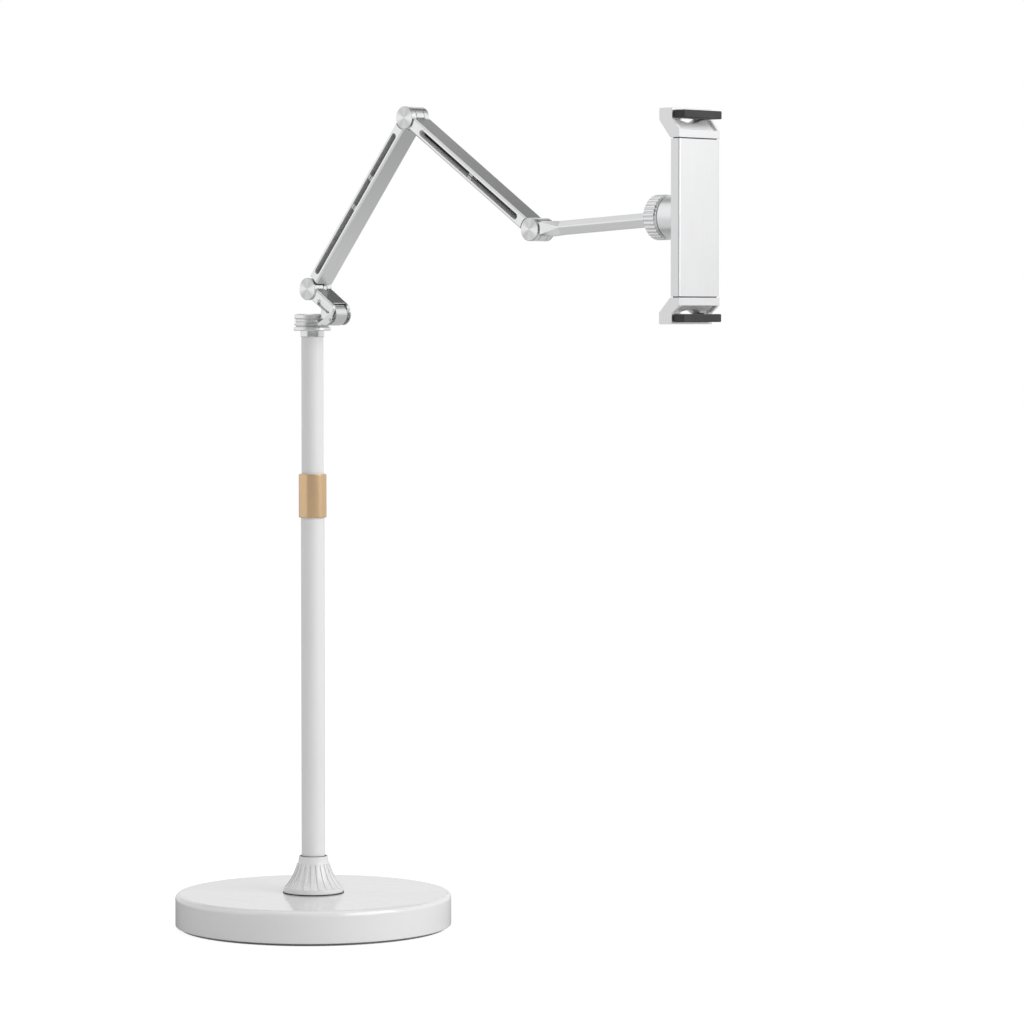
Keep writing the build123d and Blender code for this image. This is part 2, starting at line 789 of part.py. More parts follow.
pin_seat = ear_reach - pin_head_play - pin_head_high
pin_end = ear_reach - pin_head_play
hinges = [
    ("short", short_joint, offset_tongue),
    ("elbow", elbow_joint, centre_tongue),
    ("wrist", wrist_joint, centre_tongue),
]
for hinge_name, joint, tongue in hinges:
    with BuildPart() as pin:
        with BuildSketch(side_plane(joint, -pin_seat)):
            Circle(pin_head_radius)
        extrude(amount=pin_head_high)
        with BuildSketch(side_plane(joint, pin_end)):
            Circle(pin_radius)
        extrude(amount=pin_end + pin_seat)
        with BuildSketch(side_plane(joint, pin_hex_deep - pin_end)):
            RegularPolygon(pin_hex / 2, hex_sides, major_radius=False)
        extrude(amount=pin_hex_deep, mode=Mode.SUBTRACT)
    save(pin, f"{hinge_name}_hinge_pin")

    with BuildPart() as nut:
        with BuildSketch(side_plane(joint, pin_end)):
            RegularPolygon(nut_across / 2, hex_sides, major_radius=False)
            Circle(pin_radius + glue_fit, mode=Mode.SUBTRACT)
        extrude(amount=pin_head_high)
    save(nut, f"{hinge_name}_hinge_nut")

    with BuildPart() as caps:
        for low in (-ear_reach - cap_thick, ear_reach):
            cap = across(joint, low, low + cap_thick, knuckle_radius)
            with cap:
                chamfer(cap.edges(), length=cap_edge)
            add(cap.part)
    save(caps, f"{hinge_name}_hinge_caps")

    hinge_washers = washers(joint, tongue[0], tongue[1], washer_radius)
    save(hinge_washers, f"{hinge_name}_hinge_washers")

# Head arm: a tongue and block that narrow to a bar with a creased side, bored for the ball stud.
block_high = 14.6
crease_top = 5.8
block_chamfer = 1.8
block_end = 15.0
crease_start = 33.0
crease_half_width = 8.0
crease_flat = 4.0
crease_face = 0.6
stud_exposed = 21.8
stud_thread_radius = 3.5
stud_thread_long = 14.0
end_chamfer = 1.0
head_arm_end = head_length - stud_exposed


def section_plane(joint, angle, along):
    """The cross-section plane of a link at one distance along it: local x is +Y."""
    place = next_joint(joint, along, angle)
    turn = radians(angle)
    return Plane(origin=(place[0], 0, place[1]), x_dir=(0, 1, 0), z_dir=(cos(turn), 0, sin(turn)))


def eight_sided(top_half, side_half, half_width, top, bottom):
    """The corners of a section with a flat top, a flat side and a slope between them."""
    corners = [
        (top_half, top),
        (half_width, side_half),
        (half_width, -side_half),
        (top_half, -bottom),
    ]
    return corners + [(-across_y, up) for across_y, up in reversed(corners)]


half_block = block_high / 2
block_flat = half_bar - block_chamfer
block_section = eight_sided(block_flat, half_block - block_chamfer, half_bar, half_block, half_block)
crease_section = eight_sided(crease_flat, crease_face, crease_half_width, crease_top, half_block)

with BuildPart() as head_arm:
    with BuildSketch(section_plane(wrist_joint, head_angle, 0)):
        with BuildLine():
            Polyline(block_section, close=True)
        make_face()
    extrude(amount=block_end)
    with BuildSketch(section_plane(wrist_joint, head_angle, block_end)):
        with BuildLine():
            Polyline(block_section, close=True)
        make_face()
    with BuildSketch(section_plane(wrist_joint, head_angle, crease_start)):
        with BuildLine():
            Polyline(crease_section, close=True)
        make_face()
    loft(ruled=True)
    with BuildSketch(section_plane(wrist_joint, head_angle, crease_start)):
        with BuildLine():
            Polyline(crease_section, close=True)
        make_face()
    extrude(amount=head_arm_end - crease_start)
    chamfer(head_arm.faces().sort_by(Axis.X)[-1].edges(), length=end_chamfer)
    cross_cut(wrist_joint, wide_relief, -half_bar, half_bar)
    knuckles(wrist_joint, head_angle, [centre_tongue], wide_relief)
    cross_cut(wrist_joint, pin_radius + run_fit, -half_bar, half_bar)
    with BuildSketch(section_plane(wrist_joint, head_angle, head_arm_end)):
        Circle(stud_thread_radius + glue_fit)
    extrude(amount=-stud_thread_long, mode=Mode.SUBTRACT)
save(head_arm, "head_arm")

# Ball joint: a ball stud, two nested spherical liners, a threaded cup and a ribbed lock nut.
# Places along its axis are measured from the ball's centre.
stud_neck_radius = 4.5
liner_thick = 1.45
liner_mouth_angle = 45.0
seat_mouth_angle = 47.5
liner_front = 9.0
cup_radius = 20.0
cup_back = 1.9
cup_edge = 0.6
boss_outer = 17.5
boss_back = -9.0
nut_back = -14.4
nut_wall_front = -9.15
nut_front = 0.5
nut_rib_front = -1.5
nut_valley = 20.0
nut_rib_radius = 1.9
nut_rib_circle_radius = 19.3
nut_rib_count = 31
nut_rim_radius = 19.6
nut_mouth = 12.6
nut_bevel = 1.0
cup_screw_circle_radius = 13.0
cup_screw_count = 4
cup_screw_start = 45.0
cup_screw_radius = 1.5
cup_screw_head = 2.8
cup_screw_long = 9.0
liner_inner = ball_radius + run_fit
liner_outer = liner_inner + liner_thick
seat_inner = liner_outer + run_fit
seat_outer = seat_inner + liner_thick
cup_inner = seat_outer + run_fit
seat_contact = sqrt(seat_outer**2 - nut_wall_front**2)
head_axis = Axis((ball_centre[0], 0, ball_centre[1]), (1, 0, 0))


def head_section(along):
    """The plane square to the ball joint's axis, at one place along it."""
    return Plane(origin=(ball_centre[0] + along, 0, ball_centre[1]), x_dir=(0, 1, 0), z_dir=(1, 0, 0))


def head_turned(points, mode=Mode.ADD):
    """A closed outline of (along, radius) points turned round the ball joint's axis."""
    with BuildSketch(side_plane(ball_centre, 0)) as outline:
        with BuildLine():
            Polyline(points, close=True)
        make_face()
    return revolve(outline.sketch, axis=head_axis, mode=mode)


def spherical_liner(inner, outer, mouth_angle):
    """A shell round the ball, open in a cone towards the arm and cut flat at its front."""
    mouth = outer * sin(radians(mouth_angle)) / cos(radians(mouth_angle))
    with BuildPart() as made:
        with Locations(head_section(0)):
            Sphere(outer)
            Sphere(inner, mode=Mode.SUBTRACT)
        head_turned([(0, 0), (-outer, mouth), (-outer, 0)], Mode.SUBTRACT)
        head_turned([(liner_front, 0), (liner_front, outer), (outer, outer), (outer, 0)], Mode.SUBTRACT)
    return made


with BuildPart() as ball_stud:
    with Locations(head_section(0)):
        Sphere(ball_radius)
    with BuildSketch(section_plane(wrist_joint, head_angle, head_arm_end)):
        Circle(stud_neck_radius)
    extrude(amount=head_length - head_arm_end)
    with BuildSketch(section_plane(wrist_joint, head_angle, head_arm_end)):
        Circle(stud_thread_radius)
    extrude(amount=-stud_thread_long)
save(ball_stud, "ball_stud")

ball_liner = spherical_liner(liner_inner, liner_outer, liner_mouth_angle)
save(ball_liner, "ball_liner")
ball_seat = spherical_liner(seat_inner, seat_outer, seat_mouth_angle)
save(ball_seat, "ball_seat")

with BuildPart() as ball_cup:
    head_turned(
        [
            (boss_back, cup_inner),
            (boss_back, boss_outer),
            (cup_back, boss_outer),
            (cup_back, cup_radius - cup_edge),
            (cup_back + cup_edge, cup_radius),
            (clamp_setback, cup_radius),
            (clamp_setback, 0),
            (0, 0),
            (0, cup_inner),
        ]
    )
    with Locations(head_section(0)):
        Sphere(cup_inner, mode=Mode.SUBTRACT)
    with BuildSketch(head_section(clamp_setback)):
        with PolarLocations(cup_screw_circle_radius, cup_screw_count, start_angle=cup_screw_start):
            Circle(cup_screw_radius + glue_fit)
    extrude(amount=-cup_screw_long, mode=Mode.SUBTRACT)
save(ball_cup, "ball_cup")

with BuildPart() as ball_lock_nut:
    with BuildSketch(head_section(nut_back)):
        Circle(nut_valley)
        with PolarLocations(nut_rib_circle_radius, nut_rib_count):
            Circle(nut_rib_radius)
    extrude(amount=nut_rib_front - nut_back)
    head_turned(
        [
            (nut_rib_front, 0),
            (nut_rib_front, nut_rim_radius),
            (nut_front, nut_rim_radius),
            (nut_front, 0),
        ]
    )
    nut_outer = nut_rib_circle_radius + nut_rib_radius
    head_turned(
        [
            (nut_back, nut_outer - nut_bevel),
            (nut_back, nut_outer + nut_bevel),
            (nut_back + 2 * nut_bevel, nut_outer + nut_bevel),
        ],
        Mode.SUBTRACT,
    )
    head_turned(
        [
            (nut_back, 0),
            (nut_back, nut_mouth),
            (nut_wall_front, seat_contact + run_fit),
            (nut_wall_front, boss_outer + run_fit),
            (nut_front, boss_outer + run_fit),
            (nut_front, 0),
        ],
        Mode.SUBTRACT,
    )
save(ball_lock_nut, "ball_lock_nut")

# Clamp: a flat sleeve screwed to the cup, a core that guides the jaw rods, and two sprung jaws.
clamp_drop = 1.1
housing_wall = 1.6
housing_corner = 1.6
housing_inner_corner = 0.6
core_end_gap = 15.5
rod_radius = 2.0
upper_rod_y = 20.0
lower_rod_y = 14.0
rod_in_jaw = 6.0
rod_long = 95.0
rod_bore_spare = 4.0
spring_radius = 2.6
spring_wire = 0.4
spring_pitch = 2.9
spring_channel = 3.3
spring_anchor = 8.0
housing_back = ball_centre[0] + clamp_setback
housing_front = housing_back + clamp_depth
housing_mid_x = (housing_back + housing_front) / 2
clamp_mid_z = ball_centre[1] - clamp_drop
housing_half = clamp_height / 2
inner_depth = clamp_depth - 2 * housing_wall
inner_width = clamp_width - 2 * housing_wall
core_half = housing_half - core_end_gap


def clamp_level(height):
    """A level plane through the clamp, at one height above its middle."""
    return Plane.XY.offset(clamp_mid_z + height)


with BuildPart() as clamp_housing:
    with BuildSketch(clamp_level(-housing_half)):
        with Locations((housing_mid_x, 0)):
            RectangleRounded(clamp_depth, clamp_width, housing_corner)
            RectangleRounded(inner_depth, inner_width, housing_inner_corner, mode=Mode.SUBTRACT)
    extrude(amount=clamp_height)
    with BuildSketch(head_section(clamp_setback)):
        with PolarLocations(cup_screw_circle_radius, cup_screw_count, start_angle=cup_screw_start):
            Circle(cup_screw_radius + glue_fit)
    extrude(amount=housing_wall, mode=Mode.SUBTRACT)
    with Locations(head_section(clamp_setback + housing_wall / 2)):
        with PolarLocations(cup_screw_circle_radius, cup_screw_count, start_angle=cup_screw_start):
            Cone(cup_screw_head - housing_wall, cup_screw_head, housing_wall, mode=Mode.SUBTRACT)
save(clamp_housing, "clamp_housing")

with BuildPart() as cup_screws:
    with BuildSketch(head_section(clamp_setback + housing_wall)):
        with PolarLocations(cup_screw_circle_radius, cup_screw_count, start_angle=cup_screw_start):
            Circle(cup_screw_radius)
    extrude(amount=-cup_screw_long - housing_wall + seat_gap)
    with Locations(head_section(clamp_setback + housing_wall / 2)):
        with PolarLocations(cup_screw_circle_radius, cup_screw_count, start_angle=cup_screw_start):
            Cone(cup_screw_head - housing_wall - glue_fit, cup_screw_head - glue_fit, housing_wall)
save(cup_screws, "cup_screws")

rod_low = housing_half + rod_in_jaw - rod_long
with BuildPart() as clamp_core:
    with BuildSketch(clamp_level(-core_half)):
        with Locations((housing_mid_x, 0)):
            RectangleRounded(inner_depth, inner_width, housing_inner_corner)
    extrude(amount=2 * core_half)
    with BuildSketch(clamp_level(core_half)):
        with Locations((housing_mid_x, -upper_rod_y), (housing_mid_x, upper_rod_y)):
            Circle(rod_radius + run_fit)
    extrude(amount=rod_low - rod_bore_spare - core_half, mode=Mode.SUBTRACT)
    with BuildSketch(clamp_level(-core_half)):
        with Locations((housing_mid_x, -lower_rod_y), (housing_mid_x, lower_rod_y)):
            Circle(rod_radius + run_fit)
    extrude(amount=core_half - rod_low + rod_bore_spare, mode=Mode.SUBTRACT)
    for end in (-core_half, core_half):
        with BuildSketch(clamp_level(end)):
            with Locations((housing_mid_x, 0)):
                Circle(spring_channel)
        extrude(amount=(spring_anchor - core_half) * end / core_half, mode=Mode.SUBTRACT)
save(clamp_core, "clamp_core")

# Jaw outline in the side view: distance behind the clamp's front face, and height above the seam.
seam_gap = 1.0
jaw_plug = 12.0
jaw_plug_play = 0.15
plate_top = 8.4
slope_top = 18.4
hook_low = 17.7
hook_top = 28.4
hook_back = 24.4
hook_front = 9.0
hook_edge = 1.2
tongue_reach = 2.4
tongue_low = 20.9
tongue_high = 24.4
tongue_half = 22.5
ledge_deep = 3.2
cheek_thick = 3.5
pad_half = 26.8
pad_front = 4.4
pad_play = 0.2
pad_back = hook_front - pad_play
pad_low = 18.9
pad_high = 26.4
pad_edge = 1.0
window_low = 14.7
window_high = 19.6
window_radius = 38.6
lower_jaw_short = 2.8


def behind(distance, height):
    """A side-view point of a jaw, from the clamp's front face and the seam."""
    return (housing_front - distance - ball_centre[0], housing_half + height)


def side_block(half_width, points, mode=Mode.ADD):
    """A side-view outline drawn across the clamp's middle."""
    with BuildSketch(side_plane((ball_centre[0], clamp_mid_z), half_width)) as outline:
        with BuildLine():
            Polyline(points, close=True)
        make_face()
    return extrude(outline.sketch, amount=2 * half_width, mode=mode)


def jaw(rod_y, short):
    """A jaw standing up from the seam: plate, swept-back hook, window, plug and rod bores."""
    with BuildPart() as made:
        side_block(
            clamp_width / 2,
            [
                behind(0, seam_gap),
                behind(0, plate_top),
                behind(hook_front, slope_top - short),
                behind(hook_front, hook_top - short),
                behind(hook_back, hook_top - short),
                behind(hook_back, hook_low - short),
                behind(clamp_depth, seam_gap),
            ],
        )
        fillet(made.edges().filter_by(Axis.Y).group_by(Axis.Z)[-1], radius=hook_edge)
        side_block(
            clamp_width / 2 - cheek_thick,
            [
                behind(ledge_deep, plate_top),
                behind(-cut_over, plate_top),
                behind(-cut_over, hook_low - short),
                behind(hook_front + ledge_deep, hook_low - short),
            ],
            Mode.SUBTRACT,
        )
        seam_middle = (housing_front + cut_over, 0, clamp_mid_z + housing_half)
        with BuildSketch(Plane(origin=seam_middle, x_dir=(0, 1, 0), z_dir=(1, 0, 0))):
            with Locations((0, window_low + window_radius - short)):
                Circle(window_radius)
            with Locations((0, (window_high - short) / 2)):
                Rectangle(clamp_width, window_high - short, mode=Mode.INTERSECT)
        extrude(amount=-hook_back - 2 * cut_over, mode=Mode.SUBTRACT)
        side_block(
            tongue_half,
            [
                behind(hook_front + ledge_deep, tongue_low - short),
                behind(-tongue_reach, tongue_low - short),
                behind(-tongue_reach, tongue_high - short),
                behind(hook_front + ledge_deep, tongue_high - short),
            ],
        )
        with BuildSketch(clamp_level(housing_half + seam_gap)):
            with Locations((housing_mid_x, 0)):
                RectangleRounded(
                    inner_depth - 2 * jaw_plug_play, inner_width - 2 * jaw_plug_play, housing_inner_corner
                )
        extrude(amount=-jaw_plug - seam_gap)
        with BuildSketch(clamp_level(housing_half + rod_in_jaw)):
            with Locations((housing_mid_x, -rod_y), (housing_mid_x, rod_y)):
                Circle(rod_radius + glue_fit)
        extrude(amount=-jaw_plug - rod_in_jaw, mode=Mode.SUBTRACT)
    return made


def jaw_pad(short):
    """The rubber pad pressed over a jaw's tongue."""
    with BuildPart() as made:
        side_block(
            pad_half,
            [
                behind(-pad_front, pad_low - short),
                behind(-pad_front, pad_high - short),
                behind(pad_back, pad_high - short),
                behind(pad_back, pad_low - short),
            ],
        )
        fillet(made.edges(), radius=pad_edge)
        side_block(
            tongue_half + glue_fit,
            [
                behind(pad_back, tongue_low - short - glue_fit),
                behind(-tongue_reach - glue_fit, tongue_low - short - glue_fit),
                behind(-tongue_reach - glue_fit, tongue_high - short + glue_fit),
                behind(pad_back, tongue_high - short + glue_fit),
            ],
            Mode.SUBTRACT,
        )
    return made


upper_jaw = jaw(upper_rod_y, 0)
save(upper_jaw, "upper_jaw")
upper_jaw_pad = jaw_pad(0)
save(upper_jaw_pad, "upper_jaw_pad")


def jaw_rods(rod_y):
    """Two guide rods of the upper jaw's length and height, set at one distance from the middle."""
    with BuildPart() as made:
        with BuildSketch(clamp_level(housing_half + rod_in_jaw)):
            with Locations((housing_mid_x, -rod_y), (housing_mid_x, rod_y)):
                Circle(rod_radius)
        extrude(amount=-rod_long)
    return made


upper_jaw_rods = jaw_rods(upper_rod_y)
save(upper_jaw_rods, "upper_jaw_rods")

spring_high = housing_half - jaw_plug
with BuildPart() as upper_jaw_spring:
    with BuildLine(clamp_level(spring_anchor + spring_wire)) as coil_line:
        coil_high = spring_high - spring_anchor - 2 * spring_wire
        Helix(spring_pitch, coil_high, spring_radius, center=(housing_mid_x, 0, 0))
    with BuildSketch(Plane(coil_line.wires()[0] @ 0, z_dir=coil_line.wires()[0] % 0)):
        Circle(spring_wire)
    sweep(is_frenet=True)
save(upper_jaw_spring, "upper_jaw_spring")

# The lower jaw's pieces are mirrored, with a shorter hook and the rods nearer the middle.
with BuildPart() as lower_jaw:
    mirror(jaw(lower_rod_y, lower_jaw_short).part, about=clamp_level(0))
save(lower_jaw, "lower_jaw")
with BuildPart() as lower_jaw_pad:
    mirror(jaw_pad(lower_jaw_short).part, about=clamp_level(0))
save(lower_jaw_pad, "lower_jaw_pad")
with BuildPart() as lower_jaw_rods:
    mirror(jaw_rods(lower_rod_y).part, about=clamp_level(0))
save(lower_jaw_rods, "lower_jaw_rods")
with BuildPart() as lower_jaw_spring:
    mirror(upper_jaw_spring.part, about=clamp_level(0))
save(lower_jaw_spring, "lower_jaw_spring")
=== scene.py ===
import bpy
import json
import math
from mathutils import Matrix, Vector

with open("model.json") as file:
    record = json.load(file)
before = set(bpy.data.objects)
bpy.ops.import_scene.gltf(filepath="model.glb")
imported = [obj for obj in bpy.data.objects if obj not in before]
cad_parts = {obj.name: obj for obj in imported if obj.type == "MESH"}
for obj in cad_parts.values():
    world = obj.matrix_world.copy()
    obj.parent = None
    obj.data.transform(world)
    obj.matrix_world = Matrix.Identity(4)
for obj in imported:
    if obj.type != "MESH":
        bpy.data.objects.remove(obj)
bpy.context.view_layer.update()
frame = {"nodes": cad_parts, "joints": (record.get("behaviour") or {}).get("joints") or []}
nodes = frame["nodes"]
joint_at = {j["name"]: Vector(j["pos_m"]) for j in frame["joints"] if "pos_m" in j}

bracket_at = joint_at["bracket_hinge"]
short_at = joint_at["short_hinge"]
elbow_at = joint_at["elbow_hinge"]
wrist_at = joint_at["wrist_hinge"]
ball_at = joint_at["ball_tilt"]


# Node helpers
class Graph:
    """A node tree, with short calls for the nodes used here."""

    def __init__(self, tree):
        self.tree = tree

    def add(self, kind, **props):
        node = self.tree.nodes.new(kind)
        for key, value in props.items():
            setattr(node, key, value)
        return node

    def link(self, source, target):
        self.tree.links.new(source, target)

    def math(self, operation, a, b=0.0):
        node = self.add("ShaderNodeMath", operation=operation)
        for socket, value in zip(node.inputs, (a, b)):
            if isinstance(value, (int, float)):
                socket.default_value = value
            else:
                self.link(value, socket)
        return node.outputs[0]

    def vector(self, operation, a, b=None):
        node = self.add("ShaderNodeVectorMath", operation=operation)
        for socket, value in zip(node.inputs, (a, b)):
            if value is None:
                continue
            if isinstance(value, (tuple, list, Vector)):
                socket.default_value = tuple(value)
            else:
                self.link(value, socket)
        return node

    def place(self):
        return self.add("ShaderNodeTexCoord").outputs["Object"]

    def mapped(self, scale=(1, 1, 1), turn=0.0, origin=(0, 0, 0)):
        """Object coordinates about a point, turned about Y by an angle up from +X, then scaled."""
        shifted = self.vector("SUBTRACT", self.place(), origin).outputs[0]
        rotated = self.add("ShaderNodeMapping", vector_type="POINT")
        rotated.inputs["Rotation"].default_value = (0, turn, 0)
        self.link(shifted, rotated.inputs["Vector"])
        stretched = self.vector("MULTIPLY", rotated.outputs[0], scale)
        return stretched.outputs[0]

    def axes(self, coordinates):
        """The X, Y and Z of some coordinates, each as a value."""
        node = self.add("ShaderNodeSeparateXYZ")
        self.link(coordinates, node.inputs[0])
        return node.outputs

    def every(self, first, *others):
        """A mask that is one only where all the given masks are one."""
        mask = first
        for other in others:
            mask = self.math("MULTIPLY", mask, other)
        return mask

    def facing(self, way):
        """A mask that is one where the surface faces a way, in the piece's own axes."""
        normal = self.add("ShaderNodeTexCoord").outputs["Normal"]
        turned = self.vector("DOT_PRODUCT", normal, way).outputs["Value"]
        return self.ranged(turned, 0.93, 0.98, 0.0, 1.0)

    def noise(self, coordinates, scale=1.0, detail=3.0, roughness=0.5):
        node = self.add("ShaderNodeTexNoise")
        node.inputs["Scale"].default_value = scale
        node.inputs["Detail"].default_value = detail
        node.inputs["Roughness"].default_value = roughness
        self.link(coordinates, node.inputs["Vector"])
        return node.outputs["Fac"]

    def ranged(self, value, low, high, to_low, to_high, shape="LINEAR"):
        node = self.add("ShaderNodeMapRange", interpolation_type=shape)
        for key, number in zip(("From Min", "From Max", "To Min", "To Max"), (low, high, to_low, to_high)):
            node.inputs[key].default_value = number
        self.link(value, node.inputs["Value"])
        return node.outputs["Result"]

    def glow(self, kind, strength):
        """A white emission or background, of a fixed strength or one that is worked out."""
        node = self.add(kind)
        node.inputs["Color"].default_value = (1, 1, 1, 1)
        if isinstance(strength, float):
            node.inputs["Strength"].default_value = strength
        else:
            self.link(strength, node.inputs["Strength"])
        return node.outputs[0]

    def rays(self):
        """Masks of the rays that the camera sees, also through glass, and of those in a mirror."""
        kinds = self.add("ShaderNodeLightPath").outputs
        seen = self.math("MAXIMUM", kinds["Is Camera Ray"], kinds["Is Transmission Ray"])
        return seen, kinds["Is Glossy Ray"]

    def mix(self, factor, first, second):
        node = self.add("ShaderNodeMixShader")
        for socket, source in zip(node.inputs, (factor, first, second)):
            self.link(source, socket)
        return node.outputs[0]

    def tint(self, factor, first, second):
        node = self.add("ShaderNodeMix", data_type="RGBA")
        self.link(factor, node.inputs["Factor"])
        for socket, colour in zip((node.inputs[6], node.inputs[7]), (first, second)):
            if isinstance(colour, tuple):
                socket.default_value = (*colour, 1)
            else:
                self.link(colour, socket)
        return node.outputs[2]

    def edges(self, radius):
        """A mask that is one on the sharp edges, and the softened normal that rounds them."""
        soft = self.add("ShaderNodeBevel", samples=6)
        soft.inputs["Radius"].default_value = radius
        flat = self.add("ShaderNodeNewGeometry").outputs["Normal"]
        same = self.vector("DOT_PRODUCT", soft.outputs[0], flat).outputs["Value"]
        return self.ranged(same, 0.80, 0.99, 1.0, 0.0), soft.outputs[0]


class Finish(Graph):
    """A new material's node tree, with its surface shader."""

    def __init__(self, name):
        self.material = bpy.data.materials.new(name)
        self.material.use_nodes = True
        super().__init__(self.material.node_tree)
        self.shader = self.tree.nodes["Principled BSDF"]

    def bump(self, height, strength, distance, normal):
        node = self.add("ShaderNodeBump")
        node.inputs["Strength"].default_value = strength
        node.inputs["Distance"].default_value = distance
        self.link(height, node.inputs["Height"])
        self.link(normal, node.inputs["Normal"])
        self.link(node.outputs[0], self.shader.inputs["Normal"])

    def set(self, **values):
        for key, value in values.items():
            socket = self.shader.inputs[key.replace("_", " ")]
            if isinstance(value, (int, float, tuple)):
                socket.default_value = (*value, 1) if isinstance(value, tuple) and len(value) == 3 else value
            else:
                self.link(value, socket)


def enamel(name, colour, shade, rough, coat, peel, edge_radius):
    """Sprayed paint: faint patches, orange peel, a clear coat and slightly thin edges."""
    g = Finish(name)
    patches = g.noise(g.mapped(), 9.0, 4.0)
    edge, normal = g.edges(edge_radius)
    painted = g.tint(g.ranged(patches, 0.35, 0.65, 0.0, 1.0), shade, colour)
    thin = tuple(0.93 * c for c in shade)
    g.set(Base_Color=g.tint(g.math("MULTIPLY", edge, 0.45), painted, thin))
    g.set(Roughness=g.ranged(g.noise(g.mapped(), 60.0), 0.3, 0.7, rough * 0.85, rough * 1.15))
    g.set(Coat_Weight=coat, Coat_Roughness=rough * 0.5, IOR=1.5)
    g.bump(g.noise(g.mapped(), peel, 2.0), 0.04, 0.0002, normal)
    return g.material


# A link's sunk channel in the link's own axes: Y runs into it, and Z across it; its mouth gets painted light
# that fades to painted shade in its depth
channel_mouth = -0.0117
channel_floor = -0.0019
channel_half = 0.0031
mouth_shade_end = -0.0060
deep_shade_start = -0.0030

# Painted shade on the part of a jaw that shows in the seam gap, and painted light on the recess under its
# pad, which is also made less metallic
gap_painted_shade = (0.06, 0.06, 0.062)
recess_painted_light = (0.93, 0.93, 0.935)
recess_unmetal_share = 0.92


def channel_painted_greys(g, body, place, channel):
    """The body with painted greys in its channel, painted light at the mouth and painted shade in the depth,
    and a mask that is one where it stays metal.
    """
    low, high, mouth_painted_light, deep_painted_shade = channel
    axes = g.axes(place)
    inside = g.every(
        g.math("GREATER_THAN", axes["Y"], channel_mouth),
        g.math("LESS_THAN", axes["Y"], channel_floor),
        g.math("GREATER_THAN", axes["X"], low),
        g.math("LESS_THAN", axes["X"], high),
        g.math("LESS_THAN", g.math("ABSOLUTE", axes["Z"]), channel_half),
    )
    # Painted light at the channel's mouth, fading to painted shade in its depth
    depth = g.ranged(axes["Y"], mouth_shade_end, deep_shade_start, 0.0, 1.0)
    painted_greys = g.tint(depth, (mouth_painted_light,) * 3, (deep_painted_shade,) * 3)
    return g.tint(inside, body, painted_greys), g.math("SUBTRACT", 1.0, inside)


def shaded_side(g, body, colour, place, top):
    """The body with the side darkened that its neighbours shade."""
    way, share, start, end = top
    reach = g.ranged(g.axes(place)["X"], start, end, 0.0, 1.0)
    return g.tint(g.every(reach, g.facing(way)), body, tuple(share * c for c in colour))


def jaw_painted_shade_and_light(g, body, seam):
    """The body with painted shade in a jaw's seam gap and painted light in its recess, and a mask that is
    one where it stays metal.
    """
    height, side = seam
    past = g.math("SUBTRACT", g.axes(g.place())["Z"], height)
    # Painted shade on the jaw where it shows in the seam gap
    gap_shade_mask = g.math("GREATER_THAN", g.math("MULTIPLY", past, side), 0.00005)
    # Painted light on the recess under the pad, made less metallic so that it lights like paint
    recess = g.facing((0.72, 0.0, -0.69 * side))
    body = g.tint(recess, g.tint(gap_shade_mask, body, gap_painted_shade), recess_painted_light)
    return body, g.math("SUBTRACT", 1.0, g.math("MULTIPLY", recess, recess_unmetal_share))


def brushed(
    name, colour, dark, rough, turn=0.0, origin=(0, 0, 0), along="X", grain=0.12, edge_radius=0.0005,
    channel=None, top=None, seam=None
):
    """Anodised metal with a fine straight grain, paler edges that are partly wear and partly a painted
    highlight, and faint cloudy patches.
    A channel is (low, high, mouth light, deep shade): the stretch of a link with a sunk channel,
    and the painted light at its mouth and the painted shade in its depth. A top is (facing, share, start,
    end): the side of a link that its neighbours shade, growing from start to end along it, and the light it
    keeps.
    A seam is (height, side): the jaw on that side of the height gets painted shade where it shows in the
    seam gap, and the sloping recess under its pad gets painted light and less metal, so it is paler and
    duller than the rest."""
    g = Finish(name)
    stretch = {"X": (18, 1400, 1400), "Y": (1400, 18, 1400), "Z": (1400, 1400, 18)}[along]
    streaks = g.noise(g.mapped(stretch, turn, origin), 1.0, 4.0, 0.6)
    clouds = g.noise(g.mapped(), 28.0, 3.0)
    edge, normal = g.edges(edge_radius)
    # Paler edges: partly wear, partly a painted highlight
    worn_and_highlit = tuple(min(1.0, 1.18 * c) for c in colour)
    body = g.tint(g.ranged(streaks, 0.3, 0.7, 0.0, 1.0), dark, colour)
    body = g.tint(g.ranged(clouds, 0.35, 0.75, 0.0, 0.25), body, dark)
    body = g.tint(g.math("MULTIPLY", edge, 0.8), body, worn_and_highlit)
    metal = 1.0
    if channel is not None:
        body, metal = channel_painted_greys(g, body, g.mapped(turn=turn, origin=origin), channel)
    if top is not None:
        body = shaded_side(g, body, colour, g.mapped(turn=turn, origin=origin), top)
    if seam is not None:
        body, metal = jaw_painted_shade_and_light(g, body, seam)
    g.set(Base_Color=body, Metallic=metal)
    g.set(Roughness=g.ranged(streaks, 0.25, 0.75, rough * (1 - grain), rough * (1 + grain)))
    g.bump(streaks, 0.10, 0.00002, normal)
    return g.material


